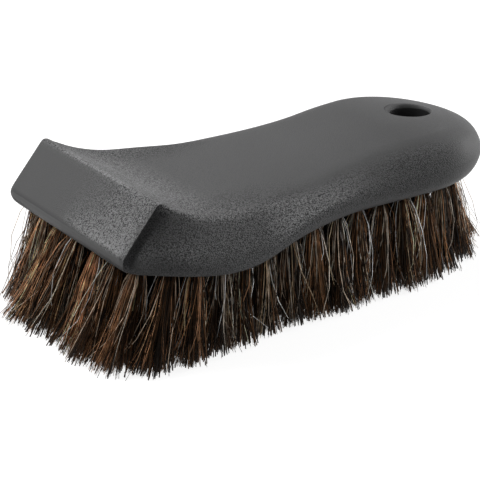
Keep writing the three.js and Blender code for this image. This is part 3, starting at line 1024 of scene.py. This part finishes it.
def hair_faces(number):
    """Sides and two end caps for every hair."""
    per_hair = HAIR_RINGS * HAIR_SIDES
    quads = []
    for ring in range(HAIR_RINGS - 1):
        for k in range(HAIR_SIDES):
            a = ring * HAIR_SIDES + k
            b = ring * HAIR_SIDES + (k + 1) % HAIR_SIDES
            quads.append((a, b, b + HAIR_SIDES, a + HAIR_SIDES))
    ends = np.array([range(HAIR_SIDES)[::-1], range(per_hair - HAIR_SIDES, per_hair)])
    first = np.arange(number)[:, None, None] * per_hair
    sides = (np.array(quads)[None] + first).reshape(-1, 4)
    caps = (ends[None] + first).reshape(-1, HAIR_SIDES)
    return sides.tolist() + caps.tolist()


def hair_map(mesh, number, t):
    """Gives each hair a strip of its own on the surface map."""
    wide = math.ceil(math.sqrt(STRIP_LENGTH_RATIO * number))
    tall = math.ceil(number / wide)
    index = np.arange(number)
    across = STRIP_SIDE_GAP + (1 - 2 * STRIP_SIDE_GAP) * np.arange(HAIR_SIDES) / (HAIR_SIDES - 1)
    lengthways = STRIP_END_GAP + (1 - 2 * STRIP_END_GAP) * t
    u = (index[:, None, None] % wide + across[None, None, :]) / wide
    v = (index[:, None, None] // wide + lengthways[None, :, None]) / tall
    places = np.stack(np.broadcast_arrays(u, v), -1).reshape(-1, 2)
    corners = np.zeros(len(mesh.loops), dtype=np.int32)
    mesh.loops.foreach_get("vertex_index", corners)
    layer = mesh.uv_layers.new(name="OFBake")
    layer.uv.foreach_set("vector", places[corners].astype(np.float32).ravel())


def hair_mesh(name, parts):
    root, bend, tip, radius, colour, light = (np.concatenate(column) for column in zip(*parts))
    number = len(root)
    t = np.linspace(0, 1, HAIR_RINGS)
    points = hair_points(root, bend, tip, radius, t) * MM + np.array([NOSE_X, 0, 0])
    mesh = bpy.data.meshes.new(name)
    mesh.from_pydata(points.tolist(), [], hair_faces(number))
    # Painted shade: the inner tufts' hairs are darkened towards the root.
    tip_light = np.clip((t - TIP_START) / (1 - TIP_START), 0, 1)[None, :] ** 2
    lit = light[:, None] + (1 - light[:, None]) * tip_light
    lit = np.repeat(lit.ravel(), HAIR_SIDES)
    tone = np.repeat(colour, HAIR_RINGS * HAIR_SIDES, axis=0) * lit[:, None]
    rgba = np.column_stack([tone, np.ones(len(tone))])
    attribute = mesh.attributes.new("hair_colour_and_shade", "FLOAT_COLOR", "POINT")
    attribute.data.foreach_set("color", rgba.astype(np.float32).ravel())
    set_float_attribute(mesh, "along", np.tile(np.repeat(t, HAIR_SIDES), number))
    hair_map(mesh, number, t)
    mesh.shade_smooth()
    return mesh


hair = {}
for zone in ZONE_ENDS:
    parts = [tuft_hairs(x, y, rank) for x, y, rank in tufts if zone_of(x) == zone]
    hair[zone] = add_object(f"hair_{zone}", hair_mesh(f"hair_{zone}", parts))


# Materials

def node(nodes, kind, **values):
    made = nodes.new(kind)
    for key, value in values.items():
        setattr(made, key, value)
    return made


def math_node(nodes, links, operation, first, second):
    made = node(nodes, "ShaderNodeMath", operation=operation)
    for socket, value in zip(made.inputs, (first, second)):
        if isinstance(value, (int, float)):
            socket.default_value = value
        else:
            links.new(value, socket)
    return made.outputs[0]


class Shading:
    """A material's nodes, with short calls for the kinds that it needs."""

    def __init__(self, name):
        self.material = bpy.data.materials.new(name)
        self.material.use_nodes = True
        self.nodes = self.material.node_tree.nodes
        self.links = self.material.node_tree.links
        self.shader = self.nodes["Principled BSDF"]

    def millimetres(self):
        """Coordinates on the object in millimetres."""
        place = node(self.nodes, "ShaderNodeTexCoord")
        scale = node(self.nodes, "ShaderNodeVectorMath", operation="SCALE")
        scale.inputs["Scale"].default_value = 1 / MM
        self.links.new(place.outputs["Object"], scale.inputs[0])
        return scale.outputs["Vector"]

    def attribute(self, name, output="Fac"):
        return node(self.nodes, "ShaderNodeAttribute", attribute_name=name).outputs[output]

    def noise(self, place, scale, detail, roughness=0.5):
        made = node(self.nodes, "ShaderNodeTexNoise")
        made.inputs["Scale"].default_value = scale
        made.inputs["Detail"].default_value = detail
        made.inputs["Roughness"].default_value = roughness
        self.links.new(place, made.inputs["Vector"])
        return made.outputs["Fac"]

    def pebbles(self, place, scale):
        made = node(self.nodes, "ShaderNodeTexVoronoi", feature="SMOOTH_F1")
        made.inputs["Scale"].default_value = scale
        made.inputs["Smoothness"].default_value = 0.5
        self.links.new(place, made.inputs["Vector"])
        return made.outputs["Distance"]

    def bump(self, height, distance):
        made = node(self.nodes, "ShaderNodeBump")
        made.inputs["Strength"].default_value = 1.0
        made.inputs["Distance"].default_value = distance
        self.links.new(height, made.inputs["Height"])
        return made.outputs["Normal"]

    def math(self, operation, first, second):
        return math_node(self.nodes, self.links, operation, first, second)

    def add(self, first, second):
        return self.math("ADD", first, second)

    def subtract(self, first, second):
        return self.math("SUBTRACT", first, second)

    def multiply(self, first, second):
        return self.math("MULTIPLY", first, second)

    def ramp(self, value, low, high, start=0.0, end=1.0):
        made = node(self.nodes, "ShaderNodeMapRange")
        made.inputs["From Min"].default_value = low
        made.inputs["From Max"].default_value = high
        made.inputs["To Min"].default_value = start
        made.inputs["To Max"].default_value = end
        self.links.new(value, made.inputs["Value"])
        return made.outputs["Result"]

    def blend(self, share, first, second):
        made = node(self.nodes, "ShaderNodeMix", data_type="RGBA")
        self.links.new(share, made.inputs["Factor"])
        made.inputs["A"].default_value = (*first, 1)
        made.inputs["B"].default_value = (*second, 1)
        return made.outputs["Result"]

    def finish(self, socket, value):
        """Gives the shader's socket a constant or the output of a node."""
        if isinstance(value, (int, float)):
            self.shader.inputs[socket].default_value = value
        else:
            self.links.new(value, self.shader.inputs[socket])


# Grain, flecks and clouds of the plastic to a millimetre, and its tones from 0, darkest, to 1, palest.
FINE_SCALE = 2.8
PEBBLE_SCALE = 3.0
FLECK_SCALE = 1.5
CLOUD_SCALE = 0.06
SPECK_RELIEF = (-0.2, 0.2)
FLECK_NOISE = (0.40, 0.60)
FLECK_SHARES = (0.1, 0.9)
PLASTIC_DARK = (0.012, 0.012, 0.0125)
PLASTIC_PALE = (0.270, 0.270, 0.273)
PLAIN_TONE = 0.25
SPECK_TONE = 1.55
CLOUD_TONE = 0.1
GRAIN_CONTRAST = 0.27
MOST_PALE_CONTRAST = 0.5
GRAIN_HEIGHT = 0.0004
PLAIN_ROUGHNESS = 0.52
GRAIN_ROUGHNESS = 0.16
CLOUD_ROUGHNESS = 0.12
PLASTIC_SPECULAR = 0.42

# Patches along the hair, from darker to lighter, and a slight fade from root to tip.
STREAK_SCALE = 0.35
PATCH_NOISE = (0.3, 0.7)
PATCH_TONES = (0.45, 1.7)
FADE_PLACES = (0.25, 0.95)
FADE_TONES = (1.35, 1.3)
HAIR_ROUGHNESS_NOISE = (-0.6, 1.6)
HAIR_SPECULAR = 0.1

# Lines along the drawn wire
WIRE_SCALE = 3
WIRE_DARK = (0.36, 0.37, 0.38)
WIRE_PALE = (0.56, 0.57, 0.58)
WIRE_ROUGHNESS_NOISE = (-0.5, 1.8)


def plastic_material():
    m = Shading("charcoal_plastic")
    place = m.millimetres()
    grain = m.attribute("grain")
    wear_and_highlight = m.attribute("wear_and_highlight")
    fine = m.noise(place, FINE_SCALE, detail=2, roughness=0.6)
    relief = m.subtract(fine, m.pebbles(place, PEBBLE_SCALE))
    cloud = m.subtract(m.noise(place, CLOUD_SCALE, detail=3), 0.5)
    m.finish("Normal", m.bump(m.multiply(relief, grain), GRAIN_HEIGHT))

    contrast = m.add(m.multiply(grain, GRAIN_CONTRAST), m.math("MINIMUM", wear_and_highlight, MOST_PALE_CONTRAST))
    speck = m.multiply(m.subtract(m.ramp(relief, *SPECK_RELIEF), 0.5), contrast)
    flecks = m.ramp(m.noise(place, FLECK_SCALE, detail=2), *FLECK_NOISE, *FLECK_SHARES)
    tone = m.add(PLAIN_TONE, m.multiply(speck, SPECK_TONE))
    tone = m.add(tone, m.multiply(cloud, CLOUD_TONE))
    # Paler with flecks where worn and where a highlight is painted.
    tone = m.add(tone, m.multiply(wear_and_highlight, flecks))
    # Painted shade darkens the tone, and a negative value paints light.
    tone = m.multiply(tone, m.subtract(1, m.attribute("painted_shade_and_light")))
    m.finish("Base Color", m.blend(tone, PLASTIC_DARK, PLASTIC_PALE))

    rough = m.add(m.multiply(grain, GRAIN_ROUGHNESS), m.multiply(cloud, CLOUD_ROUGHNESS))
    m.finish("Roughness", m.add(rough, PLAIN_ROUGHNESS))
    m.finish("Specular IOR Level", PLASTIC_SPECULAR)
    return m.material


def hair_material():
    m = Shading("natural_hair")
    streak = m.noise(m.millimetres(), STREAK_SCALE, detail=2)
    patch = m.ramp(streak, *PATCH_NOISE, *PATCH_TONES)
    along = m.ramp(m.attribute("along"), *FADE_PLACES, *FADE_TONES)
    tinted = node(m.nodes, "ShaderNodeVectorMath", operation="SCALE")
    m.links.new(m.attribute("hair_colour_and_shade", "Color"), tinted.inputs[0])
    m.links.new(m.multiply(along, patch), tinted.inputs["Scale"])
    m.finish("Base Color", tinted.outputs["Vector"])
    m.finish("Roughness", m.ramp(streak, *HAIR_ROUGHNESS_NOISE))
    m.finish("Specular IOR Level", HAIR_SPECULAR)
    return m.material


def steel_material():
    m = Shading("drawn_wire")
    lines = m.noise(m.millimetres(), WIRE_SCALE, detail=4)
    m.finish("Base Color", m.blend(lines, WIRE_DARK, WIRE_PALE))
    m.finish("Metallic", 1)
    m.finish("Roughness", m.ramp(lines, *WIRE_ROUGHNESS_NOISE))
    return m.material


block.data.materials.clear()
block.data.materials.append(plastic_material())
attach(block, "root")
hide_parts("handle_block")

natural_hair = hair_material()
for zone, obj in hair.items():
    obj.data.materials.append(natural_hair)
    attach(obj, "root")
    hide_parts(f"bristles_{zone}")

wire = steel_material()
for name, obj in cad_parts.items():
    if name.startswith("staple_"):
        obj.data.materials.clear()
        obj.data.materials.append(wire)


# Floor, light and camera, in metres

FLOOR_REACH = 4.0
BACKDROP_HEIGHT = 0.8
FLOOR_GREY = 0.30
SHOWN_FLOOR_GREY = 0.40
FLOOR_GLOW = 0.86
WORLD_LEVEL = 0.17
LIT_POINT = (0, 0, 0.03)

# Name, place, width and watts of each lamp
LAMPS = (
    ("overhead", (0.0, 0.62, 0.70), 0.6, 3.6),
    ("left_soft", (-0.60, 0.38, 0.58), 0.5, 3.7),
    ("right_soft", (0.80, -0.12, 0.36), 0.5, 3.5),
    ("front_fill", (-0.20, -0.76, 0.42), 0.6, 0.5),
)

AZIMUTH = math.radians(32.1)
ELEVATION = math.radians(20.8)
DISTANCE = 0.559
FOCAL_PIXELS = 1921
IMAGE_PIXELS = 480
SENSOR_WIDTH = 36
AIM = Vector((NOSE_X + 59.5 * MM, 4.95 * MM, 12.3 * MM))


def floor_mesh():
    """A flat floor with an upright backdrop along its four sides."""
    corners = ((-1, -1), (1, -1), (1, 1), (-1, 1))
    low = [(x * FLOOR_REACH, y * FLOOR_REACH, 0) for x, y in corners]
    high = [(x, y, BACKDROP_HEIGHT) for x, y, _ in low]
    walls = [(k, k + 4, (k + 1) % 4 + 4, (k + 1) % 4) for k in range(4)]
    mesh = bpy.data.meshes.new("floor")
    mesh.from_pydata(low + high, [], [(0, 1, 2, 3)] + walls)
    return mesh


def camera_share(nodes, links):
    """1 for rays from the camera and for those that mirror or pass through to the background."""
    path = node(nodes, "ShaderNodeLightPath").outputs
    seen = math_node(nodes, links, "MAXIMUM", path["Is Camera Ray"], path["Is Glossy Ray"])
    return math_node(nodes, links, "MAXIMUM", seen, path["Is Transmission Ray"])


def grey_diffuse(nodes, grey):
    made = node(nodes, "ShaderNodeBsdfDiffuse")
    made.inputs["Color"].default_value = (grey, grey, grey, 1)
    return made.outputs[0]


def floor_material():
    """Plain grey for the light on the object, and near white with the object's shadow where it is seen."""
    material = bpy.data.materials.new("pale_floor")
    material.use_nodes = True
    nodes, links = material.node_tree.nodes, material.node_tree.links
    nodes.clear()
    glow = node(nodes, "ShaderNodeEmission")
    glow.inputs["Strength"].default_value = FLOOR_GLOW
    shown = node(nodes, "ShaderNodeAddShader")
    links.new(grey_diffuse(nodes, SHOWN_FLOOR_GREY), shown.inputs[0])
    links.new(glow.outputs[0], shown.inputs[1])
    mix = node(nodes, "ShaderNodeMixShader")
    links.new(camera_share(nodes, links), mix.inputs["Fac"])
    links.new(grey_diffuse(nodes, FLOOR_GREY), mix.inputs[1])
    links.new(shown.outputs[0], mix.inputs[2])
    out = node(nodes, "ShaderNodeOutputMaterial")
    links.new(mix.outputs[0], out.inputs["Surface"])
    return material


def light_world():
    world = bpy.data.worlds.new("studio")
    bpy.context.scene.world = world
    world.use_nodes = True
    background = world.node_tree.nodes["Background"]
    background.inputs["Color"].default_value = (1, 1, 1, 1)
    background.inputs["Strength"].default_value = WORLD_LEVEL


def turn_to(obj, direction):
    obj.rotation_mode = "QUATERNION"
    obj.rotation_quaternion = direction.to_track_quat("-Z", "Y")


def add_lamp(name, place, width, watts):
    lamp = bpy.data.lights.new(name, "AREA")
    lamp.shape = "DISK"
    lamp.size = width
    lamp.energy = watts
    obj = add_object(name, lamp)
    obj.location = place
    turn_to(obj, Vector(LIT_POINT) - Vector(place))


def add_camera():
    level = math.cos(ELEVATION)
    forward = Vector((math.sin(AZIMUTH) * level, math.cos(AZIMUTH) * level, -math.sin(ELEVATION)))
    lens = bpy.data.cameras.new("camera")
    lens.sensor_width = SENSOR_WIDTH
    lens.lens = SENSOR_WIDTH * FOCAL_PIXELS / IMAGE_PIXELS
    lens.clip_start = 0.01
    obj = add_object("camera", lens)
    obj.location = AIM - forward * DISTANCE
    turn_to(obj, forward)
    return obj


floor = add_object("floor", floor_mesh())
floor.data.materials.append(floor_material())

light_world()
for lamp in LAMPS:
    add_lamp(*lamp)
bpy.context.scene.camera = add_camera()
bpy.context.scene.view_settings.view_transform = "Standard"
